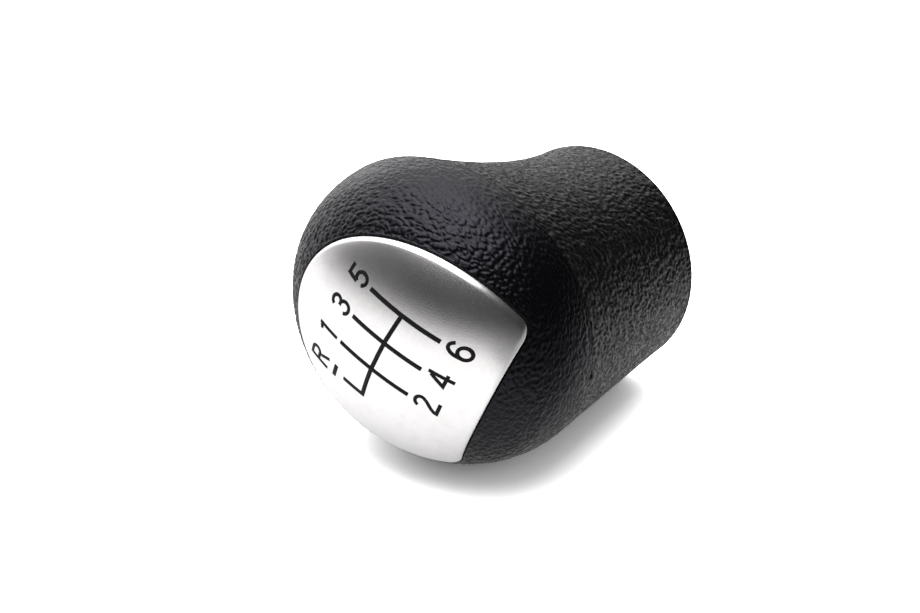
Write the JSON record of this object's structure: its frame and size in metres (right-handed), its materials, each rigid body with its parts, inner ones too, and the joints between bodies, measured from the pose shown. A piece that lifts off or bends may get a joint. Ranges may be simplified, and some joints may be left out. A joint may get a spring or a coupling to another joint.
{
  "type": "gear shift knob",
  "caption": "Manual gear shift knob with a grained black head and flared neck, a silver cap with a printed gate and a blind push-on lever bore.",
  "frame": {"origin": "centre of the lever bore's mouth, in the plane of the neck's rim", "axes": "+Z along the lever axis towards the head, +Y to the front of the car, +X to the right"},
  "size_m": [0.057, 0.0623, 0.0674],
  "materials": {
    "grained_head": "black moulded plastic with a leather grain",
    "grained_neck": "black moulded plastic with a leather grain",
    "silver_cap": "silver metallic paint, satin gloss",
    "socket_plastic": "plain moulded plastic"
  },
  "bodies": {
    "root": {"head_shell": "grained_head", "neck_sleeve": "grained_neck", "pattern_cap": "silver_cap", "lever_socket": "socket_plastic"}
  },
  "joints": []
}
